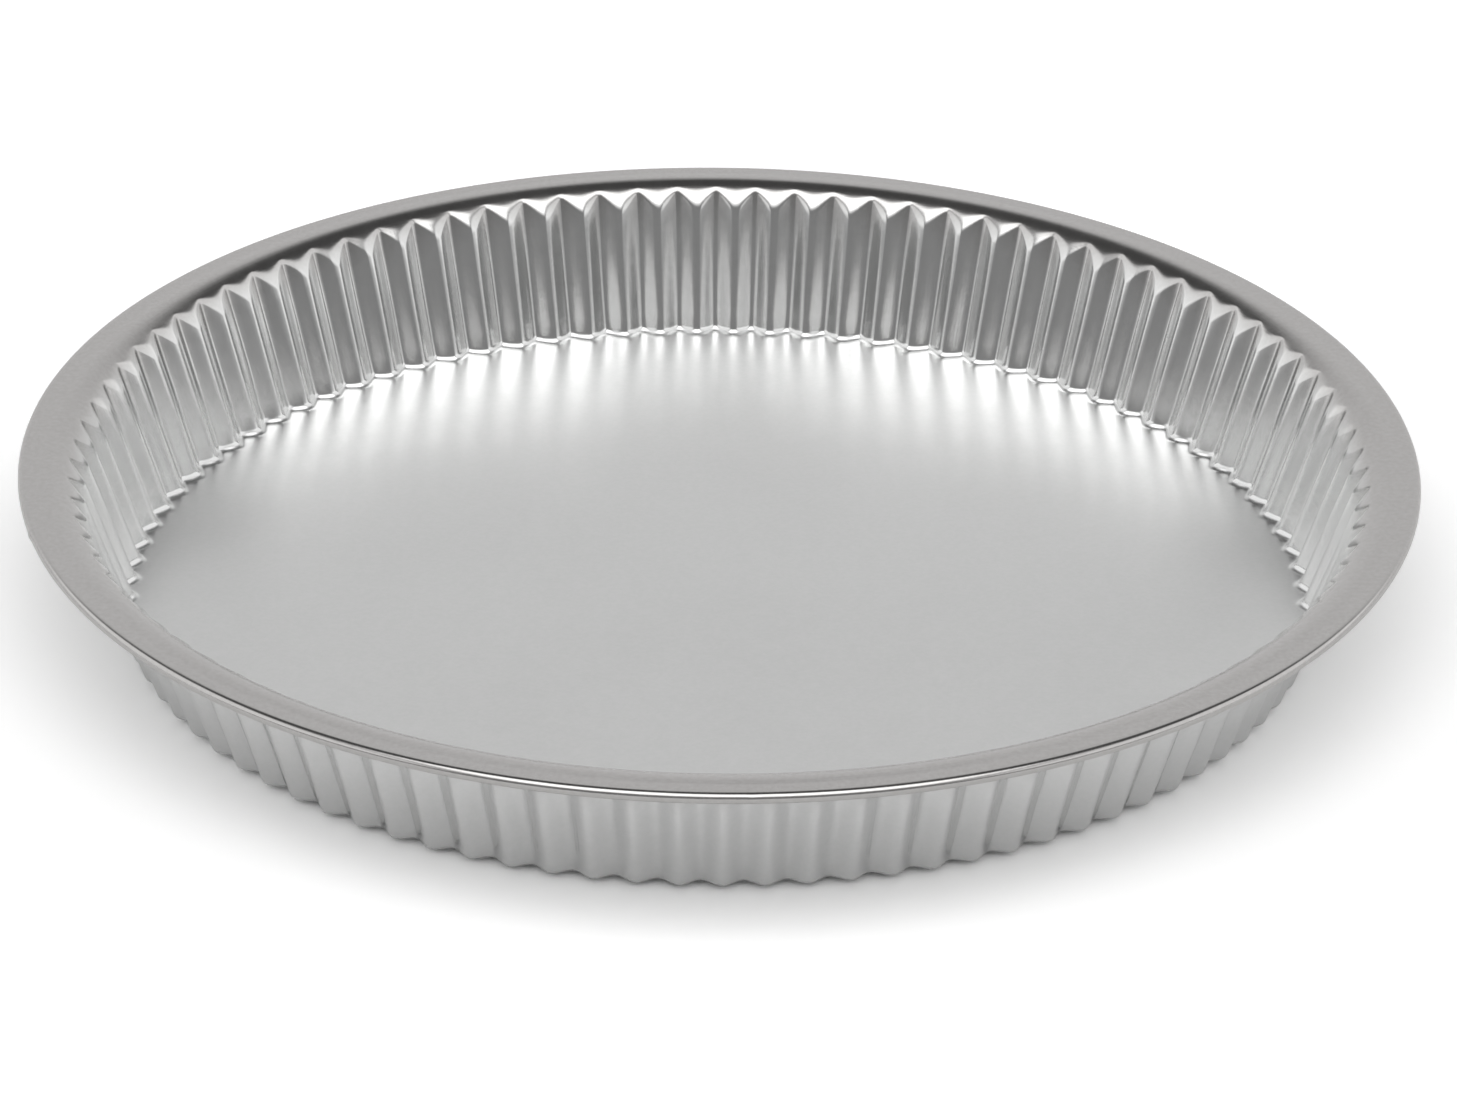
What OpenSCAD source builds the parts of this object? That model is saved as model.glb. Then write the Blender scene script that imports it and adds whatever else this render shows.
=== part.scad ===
// Fluted tart pan: a dish pressed from one sheet of tinned steel, with a flared fluted wall,
// a rounded shoulder, a flat flange and an edge that is curled round a stiffening wire.
// The origin is at the centre of the underside, where the pan rests, and +Z points out of the dish.

/* [Overall size] */
// Diameter over the curled edge
rim_d = 300; // [280:1:320]
// Height from the underside to the top of the flange
pan_h = 33.5; // [30:0.5:40]
// Thickness of the sheet
sheet_t = 0.4; // [0.3:0.05:0.5]

/* [Flutes] */
// Number of flutes round the wall
flute_n = 94; // [70:1:94]
// Depth of a flute where the wall meets the floor, from ridge to groove
foot_flute_depth = 2.3; // [1.6:0.1:2.6]
// Depth of a flute where the wall meets the shoulder, measured along the radius
top_flute_depth = 3.2; // [2.6:0.1:3.4]
// How much higher the grooves run up the shoulder than the ridges
groove_rise = 2.8; // [2.2:0.1:3]

/* [Wall and floor] */
// How far the middle of the wall's foot lies inside the outer edge
foot_inset = 22; // [20:0.25:26]
// How far the middle of the wall's top lies inside the outer edge
wall_top_inset = 12.25; // [12:0.25:13]
// How far the middle of the wall's top lies below the flange
wall_top_drop = 3.4; // [3.2:0.1:3.8]
// Radius between the floor and the wall, on the inside
fillet_r = 2; // [1.5:0.1:2.5]

/* [Rim] */
// Width of the flat flange, from its inner edge to the outer edge of the curl
flange_w = 6; // [5:0.25:7]
// Radius of the shoulder between the flange and the wall
shoulder_r = 9; // [8:0.5:10]
// Outside diameter of the curl
curl_d = 2.4; // [2.2:0.1:3]
// How far round the curl goes, from the flange down and back under it
curl_turn = 295; // [270:5:300]
// Diameter of the wire inside the curl
wire_d = 1.2; // [0.6:0.1:1.2]
// Gap between the two ends of the wire
wire_gap = 2; // [1:0.5:6]
// Direction of that gap, in degrees from +X
wire_gap_angle = 198; // [0:1:359]

/* [Hidden] */

// Radii and heights of the rim
rim_r = rim_d / 2;
curl_r = curl_d / 2;
curl_centre_r = rim_r - curl_r;
curl_centre_z = pan_h - curl_r;
curl_bore_r = curl_r - sheet_t;

// Slopes at which the shoulder's rings lie, from the flange down towards the wall
flange_edge = 3;
shoulder_high = 15;
shoulder_low = 30;

// The wall leans out by this angle, in degrees from upright
wall_run = foot_inset - wall_top_inset;
wall_rise = pan_h - wall_top_drop - sheet_t - fillet_r;
wall_lean = atan(wall_run / wall_rise);

// Sides of the fluted rings, and of the plain rings outside them
steps_per_flute = 4;
fluted_sides = flute_n * steps_per_flute;
plain_sides = flute_n;

// Directions in which the curl's rings lie, seen from its centre
curl_step = 45;
curl_whole_steps = floor(curl_turn / curl_step);
curl_angles = [for (i = [0:curl_whole_steps]) 90 - i * curl_step, 90 - curl_turn];

// 1 in a groove, -1 on a ridge and 0 between them
function flute_wave(i) = cos(360 * i / steps_per_flute);

// One fluted ring: mean radius and height, with the groove's extra radius and height
function fluted_ring(r, z, depth, rise) = [
    for (i = [0:fluted_sides - 1])
        let (a = 360 * i / fluted_sides, w = flute_wave(i), rr = r + w * depth / 2)
            [rr * cos(a), rr * sin(a), z + w * rise / 2]
];

// One plain ring
function plain_ring(r, z) = [
    for (i = [0:plain_sides - 1])
        let (a = 360 * i / plain_sides)
            [r * cos(a), r * sin(a), z]
];

// A ring of the fillet, at an angle above the horizontal, on the upper skin (t = 0) or the lower
fillet_centre_r = rim_r - foot_inset - fillet_r * cos(wall_lean);
function fillet_ring(angle, t) = fluted_ring(
    fillet_centre_r + (fillet_r + t) * cos(angle),
    sheet_t + fillet_r - (fillet_r + t) * sin(angle),
    foot_flute_depth, 0);

// The top of the wall, on the upper skin (t = 0) or the lower
function wall_top_ring(t) = fluted_ring(
    rim_r - wall_top_inset + t * cos(wall_lean),
    pan_h - wall_top_drop - t * sin(wall_lean),
    top_flute_depth, groove_rise);

// The shoulder's [radius, height] at a slope, on the upper skin (t = 0) or the lower
function shoulder_at(slope, t) = [
    rim_r - flange_w - (shoulder_r - t) * sin(slope),
    pan_h - shoulder_r + (shoulder_r - t) * cos(slope)
];

// The four fluted rings of a skin, from the floor outwards
function fluted_rings(t) = [
    fillet_ring(90, t),
    fillet_ring(50, t),
    fillet_ring(wall_lean, t),
    wall_top_ring(t),
    let (p = shoulder_at(shoulder_low, t)) fluted_ring(p[0], p[1], 0, 0)
];

// The plain rings of a skin between the shoulder and the curl
function plain_rings(t) = [
    for (slope = [shoulder_high, flange_edge])
        let (p = shoulder_at(slope, t)) plain_ring(p[0], p[1])
];

// The rings of one side of the curl
function curl_rings(r, angles) = [
    for (a = angles)
        plain_ring(curl_centre_r + r * cos(a), curl_centre_z + r * sin(a))
];

function reversed(list) = [for (i = [len(list) - 1:-1:0]) list[i]];
function joined(lists) = [for (list = lists) for (item = list) item];

// Faces between two rings of the same number of sides, the second ring further along the skin
function band(first, second, sides) = [
    for (i = [0:sides - 1])
        let (j = (i + 1) % sides)
            each [[first + i, second + i, second + j], [first + i, second + j, first + j]]
];

// Faces between a fluted ring and the plain ring outside it
function stepped_band(fluted, plain) = [
    for (i = [0:plain_sides - 1])
        let (j = (i + 1) % plain_sides, k = i * steps_per_flute, half = steps_per_flute / 2)
            each concat(
                [for (s = [0:half - 1])
                    [fluted + k + s, plain + i, fluted + k + s + 1]],
                [[fluted + k + half, plain + i, plain + j]],
                [for (s = [half:steps_per_flute - 1])
                    [fluted + k + s, plain + j, fluted + (k + s + 1) % fluted_sides]])
];

// Turns faces over, for the lower skin
function flipped(faces) = [for (f = faces) reversed(f)];

module pan() {
    upper_fluted = fluted_rings(0);
    lower_fluted = fluted_rings(sheet_t);
    // Plain rings in the order that the sheet follows: flange, round the curl and back inside it
    plain = concat(plain_rings(0), curl_rings(curl_r, curl_angles),
                   reversed(curl_rings(curl_bore_r, curl_angles)), reversed(plain_rings(sheet_t)));
    points = concat([[0, 0, sheet_t], [0, 0, 0]], joined(upper_fluted), joined(lower_fluted),
                    joined(plain));
    fluted_count = len(upper_fluted);
    upper_start = 2;
    lower_start = upper_start + fluted_count * fluted_sides;
    plain_start = lower_start + fluted_count * fluted_sides;
    upper_last = upper_start + (fluted_count - 1) * fluted_sides;
    lower_last = lower_start + (fluted_count - 1) * fluted_sides;
    plain_last = plain_start + (len(plain) - 1) * plain_sides;
    floor_top = [for (i = [0:fluted_sides - 1])
        [0, upper_start + i, upper_start + (i + 1) % fluted_sides]];
    floor_bottom = [for (i = [0:fluted_sides - 1])
        [1, lower_start + (i + 1) % fluted_sides, lower_start + i]];
    upper_bands = [for (n = [0:fluted_count - 2])
        let (s = upper_start + n * fluted_sides) each band(s, s + fluted_sides, fluted_sides)];
    lower_bands = [for (n = [0:fluted_count - 2])
        let (s = lower_start + n * fluted_sides) each band(s, s + fluted_sides, fluted_sides)];
    plain_bands = [for (n = [0:len(plain) - 2])
        let (s = plain_start + n * plain_sides) each band(s, s + plain_sides, plain_sides)];
    faces = concat(floor_top, upper_bands, stepped_band(upper_last, plain_start), plain_bands,
                   flipped(stepped_band(lower_last, plain_last)), flipped(lower_bands),
                   floor_bottom);
    color([0.75, 0.75, 0.74]) polyhedron(points = points, faces = flipped(faces), convexity = 8);
}

module rim_wire() {
    gap_turn = 360 * wire_gap / (2 * PI * curl_centre_r);
    color([0.55, 0.55, 0.56])
        translate([0, 0, curl_centre_z])
            rotate([0, 0, wire_gap_angle + gap_turn / 2])
                rotate_extrude(angle = 360 - gap_turn, $fn = 180)
                    translate([curl_centre_r, 0]) circle(d = wire_d, $fn = 24);
}

pan();
rim_wire();
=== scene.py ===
import math

import bpy
import numpy as np
from mathutils import Matrix, Vector


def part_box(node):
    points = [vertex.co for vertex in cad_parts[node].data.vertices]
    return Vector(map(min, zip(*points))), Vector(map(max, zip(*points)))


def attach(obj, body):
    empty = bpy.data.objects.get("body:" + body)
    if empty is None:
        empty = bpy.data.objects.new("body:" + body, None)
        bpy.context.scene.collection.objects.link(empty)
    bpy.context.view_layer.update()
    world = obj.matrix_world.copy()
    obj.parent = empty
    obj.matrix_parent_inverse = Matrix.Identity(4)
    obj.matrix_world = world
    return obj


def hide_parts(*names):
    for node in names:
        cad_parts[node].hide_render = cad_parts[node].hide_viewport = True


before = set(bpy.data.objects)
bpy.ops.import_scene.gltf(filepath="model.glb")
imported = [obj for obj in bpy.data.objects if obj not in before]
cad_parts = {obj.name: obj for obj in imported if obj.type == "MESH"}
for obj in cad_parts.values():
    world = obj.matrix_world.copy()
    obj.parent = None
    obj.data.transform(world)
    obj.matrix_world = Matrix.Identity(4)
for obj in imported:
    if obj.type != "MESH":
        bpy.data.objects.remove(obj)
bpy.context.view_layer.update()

# ---------------------------------------------------------------- sizes, in millimetres
MM = 0.001
PAN_LOW, PAN_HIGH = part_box("pan")
RIM_R = PAN_HIGH.x / MM              # outer radius of the curled edge
PAN_H = PAN_HIGH.z / MM              # height of the flange

FLUTES = 94
SHEET_T = 0.4

# Wall: radii of the floor's edge under a ridge and under a groove, where the foot's fillet starts
RIDGE_FOOT_R = RIM_R - 24.9
GROOVE_FOOT_R = RIM_R - 22.8
FILLET_R = 2.0

# Shoulder: a wide arc from the flange's inner edge, then a tighter one down to the wall
FLANGE_INNER_R = RIM_R - 6.0
SHOULDER_TURN = math.radians(26)     # slope where the wide arc gives way to the tighter one
WIDE_R = 8.8
TIGHT_R = {"ridge": 8.7, "groove": 2.2}

# Curled edge
CURL_R = 1.2
CURL_TURN = 295                      # how far round it goes, in degrees
CURL_CENTRE_R = RIM_R - CURL_R
CURL_CENTRE_Z = PAN_H - CURL_R

# Part of each half flute, in plan, that bends into the ridge and into the groove; the rest is straight
WALL_BENDS = (0.3, 0.18)
FOOT_BENDS = (0.4, 0.32)             # rounder, where the fillet meets the floor

# Small unevenness of a real pressing
SEED = 94
FLUTE_WANDER = 0.1                   # how far a groove or ridge strays in or out, at mid height
FLUTE_DRIFT = 0.07                   # how far it strays around the pan, in degrees
FLANGE_WAVE = 0.05                   # half the height of the flange's low waves
WAVE_LOBES = (2, 3, 5, 8)            # waves per turn, each with its own size and place
WAVE_LEAST = 0.4                     # the smallest size of one, where the largest is 1
WAVE_EASE = 2.0                      # the waves set in over this width of the flange
DIE_LINE_R = RIM_R - 4.4             # faint line that the curling die leaves on the flange
DIE_LINE_DEPTH = 0.008
DIE_LINE_WIDTH = 0.5
DIE_LINE_REACH = 0.3                 # only skin this near the flange's height has the line

# The wire in the curl, and the lump in the curl where the wire's ends meet
WIRE_LOW, WIRE_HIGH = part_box("rim_wire")
WIRE_R = (WIRE_HIGH.z - WIRE_LOW.z) / MM / 2
WIRE_GAP = 2.0
WIRE_GAP_ANGLE = 198                 # degrees from +X
END_BURR = 0.08                      # how much the cut ends are rounded over
LUMP_HEIGHT = 0.22
LUMP_LENGTH = 1.3
KINK_ANGLE = 274                     # a smaller lump near the front
KINK_HEIGHT = 0.07

# Mesh density
COLUMNS = 16                         # columns of faces in each flute
CROWDING = 0.3                       # how far the columns crowd towards the bends
FILLET_ROWS = 8
WALL_ROWS = 10
TIGHT_ROWS = 10
WIDE_ROWS = 8
FLANGE_ROWS = 13
CURL_STEP = 14.75                    # degrees between the curl's rows
WIRE_SIDES = 12
WIRE_RINGS = 400

# Rings of the flat floor, from its scalloped edge inwards: how far inside the edge, how much of the
# scallops is left, and whether the ring has half as many points as the one outside it
FLOOR_RINGS = ((0.8, 0.8, False), (2, 0.5, True), (4, 0.2, True), (8, 0, True), (14, 0, True),
               (24, 0, False), (38, 0, True), (60, 0, False), (85, 0, False), (106, 0, False))


# ---------------------------------------------------------------- the pressed sheet
def column_phases():
    """Phase of each column in a flute: 0 at the bottom of a groove, pi on a ridge."""
    even = np.arange(COLUMNS) * 2 * math.pi / COLUMNS
    return even - CROWDING * np.sin(2 * even)


def flute_share(phase, bends):
    """1 at the bottom of a groove and 0 on a ridge: an arc, a straight flank and an arc."""
    ridge, groove = bends
    u = np.abs(phase / math.pi - 1)
    rise = np.where(u < ridge, u ** 2 / (2 * ridge), u - ridge / 2)
    rise -= np.clip(u - (1 - groove), 0, None) ** 2 / (2 * groove)
    return rise / (1 - (ridge + groove) / 2)


def profile(share):
    """The upper skin from the floor's edge to the end of the curl, as an array of (radius, height).
    The share says how far this line is from a ridge towards a groove."""
    foot_r = RIDGE_FOOT_R + (GROOVE_FOOT_R - RIDGE_FOOT_R) * share
    foot_z = SHEET_T + FILLET_R
    tight = TIGHT_R["ridge"] + (TIGHT_R["groove"] - TIGHT_R["ridge"]) * share
    wide_z = PAN_H - WIDE_R
    tight_r = FLANGE_INNER_R - (WIDE_R - tight) * math.sin(SHOULDER_TURN)
    tight_z = wide_z + (WIDE_R - tight) * math.cos(SHOULDER_TURN)
    # the wall is the straight line that touches the fillet and the tight arc
    apart = math.hypot(tight_r - foot_r, tight_z - foot_z)
    lean = math.acos((FILLET_R + tight) / apart) - math.atan2(tight_z - foot_z, tight_r - foot_r)
    points = []
    for a in np.linspace(math.pi / 2, lean, FILLET_ROWS):
        points.append((foot_r + FILLET_R * math.cos(a), foot_z - FILLET_R * math.sin(a)))
    top = (tight_r - tight * math.cos(lean), tight_z + tight * math.sin(lean))
    foot = points[-1]
    for t in np.linspace(0, 1, WALL_ROWS)[1:]:
        points.append((foot[0] + (top[0] - foot[0]) * t, foot[1] + (top[1] - foot[1]) * t))
    for slope in np.linspace(math.pi / 2 - lean, SHOULDER_TURN, TIGHT_ROWS)[1:]:
        points.append((tight_r - tight * math.sin(slope), tight_z + tight * math.cos(slope)))
    for slope in np.linspace(SHOULDER_TURN, 0, WIDE_ROWS)[1:]:
        points.append((FLANGE_INNER_R - WIDE_R * math.sin(slope), wide_z + WIDE_R * math.cos(slope)))
    for r in np.linspace(FLANGE_INNER_R, CURL_CENTRE_R, FLANGE_ROWS)[1:]:
        points.append((r, PAN_H))
    for a in np.radians(np.linspace(90, 90 - CURL_TURN, round(CURL_TURN / CURL_STEP) + 1))[1:]:
        points.append((CURL_CENTRE_R + CURL_R * math.cos(a), CURL_CENTRE_Z + CURL_R * math.sin(a)))
    return np.array(points)


def sheet_grid():
    """Upper skin as an array of points [row, column, xyz]."""
    phases = column_phases()
    wall_share = flute_share(phases, WALL_BENDS)
    profiles = np.array([profile(share) for share in wall_share])        # column, row, (r, z)
    rounder = (flute_share(phases, FOOT_BENDS) - wall_share) * (GROOVE_FOOT_R - RIDGE_FOOT_R)
    profiles[:, :FILLET_ROWS, 0] += rounder[:, None] * np.linspace(1, 0, FILLET_ROWS)
    angles = (np.arange(FLUTES)[:, None] + phases[None, :] / (2 * math.pi)) * 2 * math.pi / FLUTES
    angles = angles.ravel()
    rz = np.tile(profiles, (FLUTES, 1, 1)).transpose(1, 0, 2)            # row, column, (r, z)
    r, z = rz[..., 0].copy(), rz[..., 1].copy()
    wander, drift = unevenness(phases)
    on_wall = np.sin(math.pi * np.clip(z / PAN_H, 0, 1)) * (r < FLANGE_INNER_R)
    r += on_wall * wander
    turned = angles + on_wall * np.radians(drift)
    on_flange = np.clip((r - FLANGE_INNER_R) / WAVE_EASE, 0, 1)
    z += on_flange * flange_wave(angles)
    flat = (z > PAN_H - DIE_LINE_REACH) & (r < CURL_CENTRE_R)
    z -= flat * DIE_LINE_DEPTH * np.exp(-((r - DIE_LINE_R) / DIE_LINE_WIDTH) ** 2)
    curled = np.clip((r - CURL_CENTRE_R) / CURL_R, 0, 1)
    r += curled * bead_lump(angles)
    return np.stack([r * np.cos(turned), r * np.sin(turned), z], axis=2)


def unevenness(phases):
    """Radial and angular strays of every column: each groove and each ridge has its own, and the
    columns between them go from one to the other."""
    random = np.random.RandomState(SEED)
    share = np.tile(flute_share(phases, WALL_BENDS), FLUTES)
    flute = np.repeat(np.arange(FLUTES), COLUMNS)
    groove = (flute + (np.tile(phases, FLUTES) > math.pi)) % FLUTES
    strays = []
    for size in (FLUTE_WANDER, FLUTE_DRIFT):
        grooves, ridges = random.uniform(-size, size, (2, FLUTES))
        strays.append(share * grooves[groove] + (1 - share) * ridges[flute])
    return strays


def flange_wave(angles):
    """Low waves around the flange, none of them above its full height."""
    random = np.random.RandomState(SEED + 1)
    wave = sum(random.uniform(WAVE_LEAST, 1) * np.sin(lobes * angles + random.uniform(0, 2 * math.pi))
               for lobes in WAVE_LOBES)
    return FLANGE_WAVE * (wave / np.abs(wave).max() - 1)


def bead_lump(angles):
    """How far the curl swells over the ends of the wire, and at a small kink near the front."""
    swell = np.zeros_like(angles)
    for place, height in ((WIRE_GAP_ANGLE, LUMP_HEIGHT), (KINK_ANGLE, KINK_HEIGHT)):
        away = (angles - math.radians(place) + math.pi) % (2 * math.pi) - math.pi
        swell += height * np.exp(-(away * RIM_R / LUMP_LENGTH) ** 2)
    return swell


def grid_normals(grid):
    """Unit normals of the upper skin, on the side of the air above it."""
    around = np.roll(grid, -1, axis=1) - np.roll(grid, 1, axis=1)
    along = np.gradient(grid, axis=0)
    n = np.cross(around, along)
    n /= np.linalg.norm(n, axis=2, keepdims=True)
    n *= np.sign(n[0, :, 2])[None, :, None]
    return n


class MeshBuilder:
    """Collects points and faces, ring by ring."""

    def __init__(self):
        self.points, self.faces, self.count = [], [], 0

    def ring(self, points):
        """Adds points, in millimetres, and gives back their numbers."""
        self.points.append(points)
        self.count += len(points)
        return np.arange(self.count - len(points), self.count)

    def add(self, corners, turned):
        """Adds faces, given as one array of points for each corner, and turned over if asked."""
        self.faces += np.stack(corners[::-1] if turned else corners, axis=1).tolist()

    def band(self, first, second, turned=False):
        """Faces between two rings. They look up where both rings run anticlockwise and the second is the
        outer one, or down if turned. The first ring may have half as many points as the second."""
        first_next = np.roll(first, -1)
        if len(first) == len(second):
            self.add((first, second, np.roll(second, -1), first_next), turned)
            return
        even, odd = second[0::2], second[1::2]
        self.add((first, even, odd), turned)
        self.add((first, odd, first_next), turned)
        self.add((first_next, odd, np.roll(even, -1)), turned)

    def fan(self, middle, ring, turned=False):
        """Triangles from a ring to the point in its middle, facing as the bands do."""
        self.add((np.full_like(ring, middle), ring, np.roll(ring, -1)), turned)

    def make(self, name):
        mesh = bpy.data.meshes.new(name)
        mesh.from_pydata((np.concatenate(self.points) * MM).tolist(), [], self.faces)
        mesh.validate()
        mesh.shade_smooth()
        piece = bpy.data.objects.new(name, mesh)
        bpy.context.scene.collection.objects.link(piece)
        return piece


def floor_rings(edge):
    """Rings inside the floor's scalloped edge, from scalloped to round."""
    rings = []
    current = edge
    mean_r = np.linalg.norm(edge[:, :2], axis=1).mean()
    for inset, scallops, halved in FLOOR_RINGS:
        if halved:
            current = current[0::2]
        radii = np.linalg.norm(current[:, :2], axis=1)
        edge_radii = np.linalg.norm(edge[:: len(edge) // len(current)][:, :2], axis=1)
        wanted = (mean_r - inset) + (edge_radii - mean_r) * scallops
        current = current * np.stack([wanted / radii, wanted / radii, np.ones_like(radii)], axis=1)
        rings.append(current)
    return rings


def add_skin(build, grid, turned):
    """Adds one skin of the pan, from the end of the curl to the middle of the floor, and gives back its
    row at the end of the curl."""
    rows = [build.ring(row) for row in grid]
    for inner, outer in zip(rows, rows[1:]):
        build.band(inner, outer, turned)
    outer = rows[0]
    for points in floor_rings(grid[0]):
        inner = build.ring(points)
        build.band(inner, outer, turned)
        outer = inner
    middle = build.ring(np.array([[0, 0, grid[0, 0, 2]]]))
    build.fan(middle[0], outer, turned)
    return rows[-1]


def make_pan():
    """The pressed sheet: an upper skin, the lower skin one sheet's thickness under it, and the cut edge."""
    upper = sheet_grid()
    lower = upper - SHEET_T * grid_normals(upper)
    lower[0, :, 2] = 0
    build = MeshBuilder()
    upper_end = add_skin(build, upper, turned=False)
    lower_end = add_skin(build, lower, turned=True)
    build.band(upper_end, lower_end)
    return build.make("pressed_pan")


def make_wire():
    """The stiffening wire: an open ring with cut, slightly rounded ends."""
    half_gap = WIRE_GAP / 2 / CURL_CENTRE_R
    start = math.radians(WIRE_GAP_ANGLE) + half_gap
    turn = 2 * math.pi - 2 * half_gap
    burr = END_BURR / CURL_CENTRE_R
    stations = [(start, WIRE_R - END_BURR), (start + burr, WIRE_R)]
    stations += [(start + turn * i / WIRE_RINGS, WIRE_R) for i in range(1, WIRE_RINGS)]
    stations += [(start + turn - burr, WIRE_R), (start + turn, WIRE_R - END_BURR)]
    around = np.arange(WIRE_SIDES) * 2 * math.pi / WIRE_SIDES
    build = MeshBuilder()
    rings = []
    for angle, size in stations:
        r = CURL_CENTRE_R + size * np.cos(around)
        z = CURL_CENTRE_Z + size * np.sin(around)
        rings.append(build.ring(np.stack([r * math.cos(angle), r * math.sin(angle), z], axis=1)))
    for one, following in zip(rings, rings[1:]):
        build.band(one, following)
    build.faces.append(rings[0].tolist())
    build.faces.append(rings[-1].tolist()[::-1])
    return build.make("stiffening_wire")


# ---------------------------------------------------------------- materials
# Noise patterns: fineness per metre, detail, harshness
GRAIN = (900, 3.0, 0.6)
SPANGLE = (260, 3.0, 0.5)
SMUDGE = (16, 3.0, 0.5)
BLOOM = (300, 4.0, 0.5)
# Marks that run one way: fineness along each value, per metre or per radian
DIE_MARKS = (2600, 5)                # radius and angle, on the flange
DRAW_MARKS = (420, 60)               # angle and height, on the wall
WIRE_LINES = (9000, 12, 9000)        # radius, angle and height
# Stretch of a noise pattern over which something sets in
MIDDLE = (0.3, 0.7)
SMUDGE_SETS_IN = (0.4, 0.7)
BLOOM_SETS_IN = (0.5, 0.75)

# Tin plate, with lengths in metres: colours between which the grain varies, plain and on the flange, where
# the flange's painted reflection (its darker, warmer colour) and the floor's wear begin and end, and the
# heights between which the draw marks come and go
PLAIN_TIN = (0.772, 0.777, 0.771, 1), (0.797, 0.797, 0.795, 1)
# painted reflection: the flange's colour is made darker and warmer, standing in for the darker, warmer
# surroundings it reflects
FLANGE_PAINTED_REFLECTION_TIN = (0.52, 0.507, 0.498, 1), (0.552, 0.541, 0.533, 1)
FLANGE_SETS_IN = ((RIM_R - 15) * MM, (RIM_R - 10) * MM)
WALL_BAND = (0.0015, 0.004, 0.028, 0.032)
FLOOR_FADES_OUT = (0.0006, 0.0020)
TIN_ROUGHNESS = (0.11, 0.13)
# What smudges, marks, the floor's wear and the flange's wear add to that roughness
SMUDGE_ROUGHNESS, MARKS_ROUGHNESS, FLOOR_ROUGHNESS, FLANGE_ROUGHNESS = 0.02, 0.03, 0.19, 0.06
GRAIN_DEPTH, SPANGLE_DEPTH, MARKS_DEPTH = 0.000006, 0.00001, 0.00001

# Wire
WIRE_STEEL = (0.42, 0.42, 0.42, 1)
RUST_BLOOM = (0.26, 0.20, 0.16, 1)
WIRE_ROUGHNESS = (0.28, 0.45)
LINES_DEPTH = 0.00002


class Graph:
    """Short calls that add nodes to a material's or a world's tree."""

    def __init__(self, tree):
        self.nodes, self.links = tree.nodes, tree.links

    def put(self, socket, value):
        """Sets a socket to a number or a colour, or links another node's output to it."""
        if isinstance(value, bpy.types.NodeSocket):
            self.links.new(value, socket)
        else:
            socket.default_value = value

    def math(self, operation, *values):
        node = self.nodes.new("ShaderNodeMath")
        node.operation = operation
        for socket, value in zip(node.inputs, values):
            self.put(socket, value)
        return node.outputs[0]

    def smooth(self, value, low, high, start=0.0, end=1.0):
        """Goes smoothly from start to end while the value goes from low to high."""
        node = self.nodes.new("ShaderNodeMapRange")
        node.interpolation_type = "SMOOTHSTEP"
        for name, number in (("From Min", low), ("From Max", high), ("To Min", start), ("To Max", end)):
            node.inputs[name].default_value = number
        self.links.new(value, node.inputs["Value"])
        return node.outputs["Result"]

    def band(self, value, a, b, c, d):
        """1 from b to c, falling smoothly to 0 at a and at d."""
        return self.math("MULTIPLY", self.smooth(value, a, b), self.smooth(value, c, d, 1.0, 0.0))

    def noise(self, vector, fineness, detail, harshness):
        node = self.nodes.new("ShaderNodeTexNoise")
        node.inputs["Scale"].default_value = fineness
        node.inputs["Detail"].default_value = detail
        node.inputs["Roughness"].default_value = harshness
        self.links.new(vector, node.inputs["Vector"])
        return node.outputs["Fac"]

    def run_marks(self, values, fineness, detail):
        """Noise over two or three values, with its own fineness along each of them."""
        node = self.nodes.new("ShaderNodeCombineXYZ")
        for socket, value, fine in zip(node.inputs, values, fineness):
            self.put(socket, self.math("MULTIPLY", value, fine))
        return self.noise(node.outputs[0], 1.0, detail, harshness=0.5)

    def mix(self, share, a, b):
        """Colour a where the share is 0, and b where it is 1."""
        node = self.nodes.new("ShaderNodeMix")
        node.data_type = "RGBA"
        colour_a, colour_b, colour_out = node.inputs[6], node.inputs[7], node.outputs[2]
        self.put(node.inputs["Factor"], share)
        self.put(colour_a, a)
        self.put(colour_b, b)
        return colour_out

    def bump(self, height, distance, under=None):
        node = self.nodes.new("ShaderNodeBump")
        node.inputs["Strength"].default_value = 1.0
        node.inputs["Distance"].default_value = distance
        self.links.new(height, node.inputs["Height"])
        if under is not None:
            self.links.new(under, node.inputs["Normal"])
        return node.outputs[0]

    def place(self):
        """Object position, and the radius, angle and height it works out to, in metres and radians."""
        position = self.nodes.new("ShaderNodeTexCoord").outputs["Object"]
        split = self.nodes.new("ShaderNodeSeparateXYZ")
        self.links.new(position, split.inputs[0])
        x, y, z = split.outputs
        radius = self.math("SQRT", self.math("ADD", self.math("MULTIPLY", x, x), self.math("MULTIPLY", y, y)))
        angle = self.math("ARCTAN2", y, x)
        return position, radius, angle, z


def new_material(name):
    material = bpy.data.materials.new(name)
    material.use_nodes = True
    return material, Graph(material.node_tree), material.node_tree.nodes["Principled BSDF"]


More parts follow.
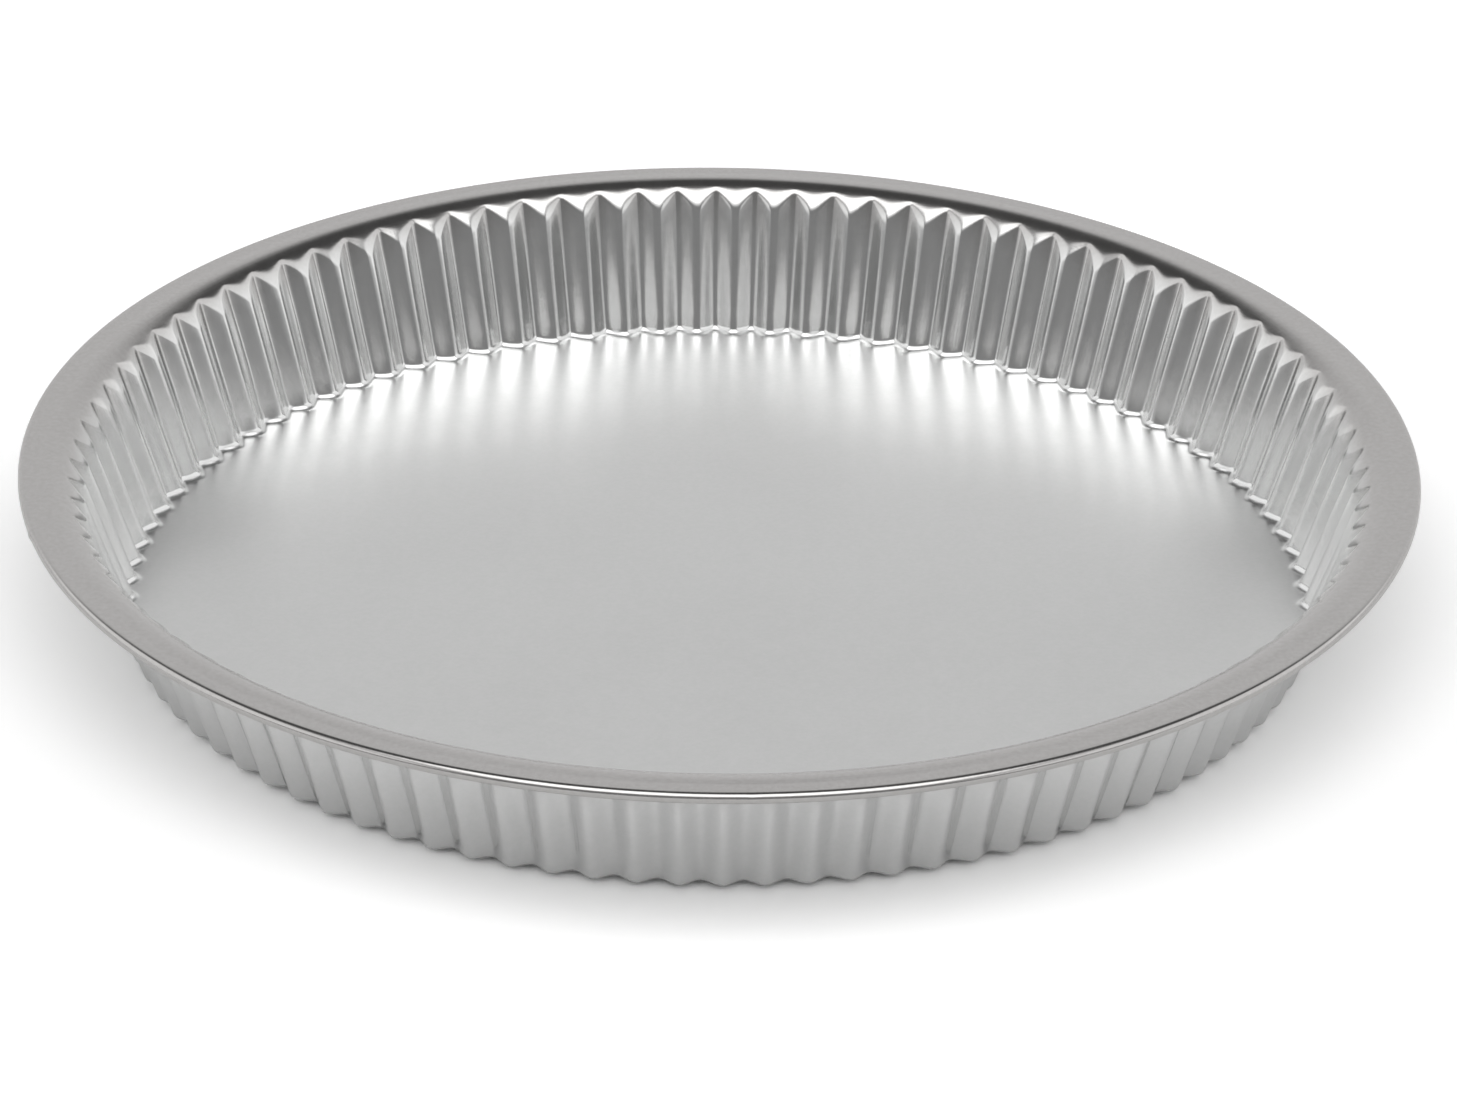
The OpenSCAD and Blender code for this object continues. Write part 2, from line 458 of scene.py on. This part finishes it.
def tinned_steel():
    """Tin plate: softly mirrored, faintly grained, with draw marks and a rougher flange whose colour is a
    painted reflection, darker and warmer.
    """
    material, g, shader = new_material("tinned_steel")
    position, radius, angle, height = g.place()
    grain = g.noise(position, *GRAIN)
    spangle = g.noise(position, *SPANGLE)
    smudge = g.noise(position, *SMUDGE)
    flange = g.smooth(radius, *FLANGE_SETS_IN)
    # concentric marks on the flange, and marks that run up the wall
    rings = g.run_marks((radius, angle), DIE_MARKS, detail=2.0)
    runs = g.run_marks((angle, height), DRAW_MARKS, detail=3.0)
    marks = g.math("ADD", g.math("MULTIPLY", rings, flange),
                   g.math("MULTIPLY", runs, g.band(height, *WALL_BAND)))

    mottle = g.smooth(grain, *MIDDLE)
    # the flange's darker, warmer colour is a painted reflection
    g.put(shader.inputs["Base Color"], g.mix(flange, g.mix(mottle, *PLAIN_TIN), g.mix(mottle, *FLANGE_PAINTED_REFLECTION_TIN)))
    shader.inputs["Metallic"].default_value = 1.0

    rough = g.math("ADD", g.smooth(spangle, *MIDDLE, *TIN_ROUGHNESS),
                   g.smooth(smudge, *SMUDGE_SETS_IN, 0.0, SMUDGE_ROUGHNESS))
    rough = g.math("ADD", rough, g.math("MULTIPLY", marks, MARKS_ROUGHNESS))
    worn = g.math("ADD", g.smooth(height, *FLOOR_FADES_OUT, FLOOR_ROUGHNESS, 0.0),
                  g.math("MULTIPLY", flange, FLANGE_ROUGHNESS))
    g.put(shader.inputs["Roughness"], g.math("ADD", rough, worn))

    fine = g.bump(grain, GRAIN_DEPTH)
    soft = g.bump(spangle, SPANGLE_DEPTH, fine)
    g.put(shader.inputs["Normal"], g.bump(marks, MARKS_DEPTH, soft))
    return material


def drawn_wire():
    """Plain steel wire: greyer than the tin, with fine lines along it and a little rust bloom."""
    material, g, shader = new_material("drawn_wire")
    position, radius, angle, height = g.place()
    lines = g.run_marks((radius, angle, height), WIRE_LINES, detail=2.0)
    bloom = g.smooth(g.noise(position, *BLOOM), *BLOOM_SETS_IN)
    g.put(shader.inputs["Base Color"], g.mix(bloom, WIRE_STEEL, RUST_BLOOM))
    shader.inputs["Metallic"].default_value = 1.0
    g.put(shader.inputs["Roughness"], g.smooth(lines, *MIDDLE, *WIRE_ROUGHNESS))
    g.put(shader.inputs["Normal"], g.bump(lines, LINES_DEPTH))
    return material


pan = make_pan()
pan.data.materials.append(tinned_steel())
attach(pan, "root")
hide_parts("pan")

wire = make_wire()
wire.data.materials.append(drawn_wire())
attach(wire, "root")
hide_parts("rim_wire")

# ---------------------------------------------------------------- camera
CAMERA_TURN = 1.265                  # degrees round the pan from -Y
CAMERA_ELEVATION = 26.496
CAMERA_ROLL = 0.666
CAMERA_DISTANCE = 8.118 * RIM_R      # from the middle of the rim, in millimetres
LENS = 139.9                         # millimetres, on the standard 36 mm sensor
AIM_RIGHT, AIM_UP = 2.09, -21.16     # where it aims, seen from the middle of the rim, in millimetres


def make_camera():
    """The camera at the photograph's viewing angle, with its small roll."""
    elevation, turn, roll = (math.radians(a) for a in (CAMERA_ELEVATION, CAMERA_TURN, CAMERA_ROLL))
    back = Vector((math.cos(elevation) * math.sin(turn), -math.cos(elevation) * math.cos(turn),
                   math.sin(elevation)))
    rim_middle = Vector((0, 0, CURL_CENTRE_Z))
    place = rim_middle + CAMERA_DISTANCE * back
    right = Vector((math.cos(turn), math.sin(turn), 0))
    up = right.cross(-back)
    forward = (rim_middle + AIM_RIGHT * right + AIM_UP * up - place).normalized()
    level = forward.cross(up).normalized()
    upright = level.cross(forward)
    x_axis = math.cos(roll) * level + math.sin(roll) * upright
    y_axis = math.cos(roll) * upright - math.sin(roll) * level
    matrix = Matrix((x_axis, y_axis, -forward)).transposed().to_4x4()
    matrix.translation = place * MM
    data = bpy.data.cameras.new("photo_camera")
    data.lens = LENS
    camera = bpy.data.objects.new("photo_camera", data)
    camera.matrix_world = matrix
    bpy.context.scene.collection.objects.link(camera)
    bpy.context.scene.camera = camera


make_camera()

# ---------------------------------------------------------------- stage and light
FLOOR_HALF_SIDE = 3.0                # metres
FLOOR_GAP = 1.0                      # millimetres under the pan, for a dark line below its edge
FLOOR_TONE = 0.87
FLOOR_SEEN = 1.28                    # its tone as the camera sees it, which comes out as plain white
FLOOR_ROUGH = 0.9

# Soft light panels: brightness, the angles over the pan where each rises and falls, how far aside
MAIN_LEVEL, MAIN_OVER, MAIN_ASIDE = 2.3, (30, 56, 80, 98), (0.37, 0.64)
SIDES_LEVEL, SIDES_OVER, SIDES_ASIDE = 0.95, (6, 40, 130, 156), (0.56, 0.68)
BACKDROP_LEVEL, BACKDROP_OVER = 0.68, (130, 146)
FRONT_LEVEL, FRONT_OVER = 0.17, (20, 60)
ROOM_LEVEL = 0.07


def grey(tone):
    return (tone, tone, tone, 1)


def make_floor():
    """A plain pale floor."""
    size = FLOOR_HALF_SIDE
    mesh = bpy.data.meshes.new("floor")
    mesh.from_pydata([(-size, -size, 0), (size, -size, 0), (size, size, 0), (-size, size, 0)], [],
                     [(0, 1, 2, 3)])
    floor = bpy.data.objects.new("floor", mesh)
    floor.location.z = -FLOOR_GAP * MM
    bpy.context.scene.collection.objects.link(floor)
    material, g, shader = new_material("pale_floor")
    seen = g.nodes.new("ShaderNodeLightPath").outputs["Is Camera Ray"]
    g.put(shader.inputs["Base Color"], g.mix(seen, grey(FLOOR_TONE), grey(FLOOR_SEEN)))
    shader.inputs["Roughness"].default_value = FLOOR_ROUGH
    shader.inputs["Specular IOR Level"].default_value = 0.0
    mesh.materials.append(material)


def make_world():
    """A studio all round. Directions are told apart by the angle over the pan, in degrees from the
    camera's side (90 is overhead, 180 behind the pan), and by how far to the side they point."""
    world = bpy.data.worlds.new("studio")
    bpy.context.scene.world = world
    world.use_nodes = True
    g = Graph(world.node_tree)
    split = g.nodes.new("ShaderNodeSeparateXYZ")
    g.links.new(g.nodes.new("ShaderNodeTexCoord").outputs["Generated"], split.inputs[0])
    x, y, z = split.outputs
    over = g.math("MULTIPLY", g.math("ARCTAN2", z, g.math("MULTIPLY", y, -1.0)), 180 / math.pi)
    aside = g.math("ABSOLUTE", x)

    main = g.math("MULTIPLY", g.band(over, *MAIN_OVER), g.smooth(aside, *MAIN_ASIDE, 1.0, 0.0))
    sides = g.math("MULTIPLY", g.band(over, *SIDES_OVER), g.smooth(aside, *SIDES_ASIDE))
    backdrop = g.smooth(over, *BACKDROP_OVER)
    front = g.smooth(over, *FRONT_OVER, 1.0, 0.0)
    light = g.math("MULTIPLY", main, MAIN_LEVEL)
    light = g.math("ADD", light, g.math("MULTIPLY", sides, SIDES_LEVEL))
    light = g.math("ADD", light, g.math("MULTIPLY", backdrop, BACKDROP_LEVEL))
    light = g.math("ADD", light, g.math("MULTIPLY", front, FRONT_LEVEL))
    light = g.math("ADD", light, ROOM_LEVEL)

    # what the camera sees past the floor is plain white
    seen = g.nodes.new("ShaderNodeLightPath").outputs["Is Camera Ray"]
    strength = g.math("ADD", seen, g.math("MULTIPLY", light, g.math("SUBTRACT", 1.0, seen)))
    background = g.nodes["Background"]
    background.inputs["Color"].default_value = grey(1)
    g.put(background.inputs["Strength"], strength)


make_floor()
make_world()
bpy.context.scene.view_settings.view_transform = "Standard"
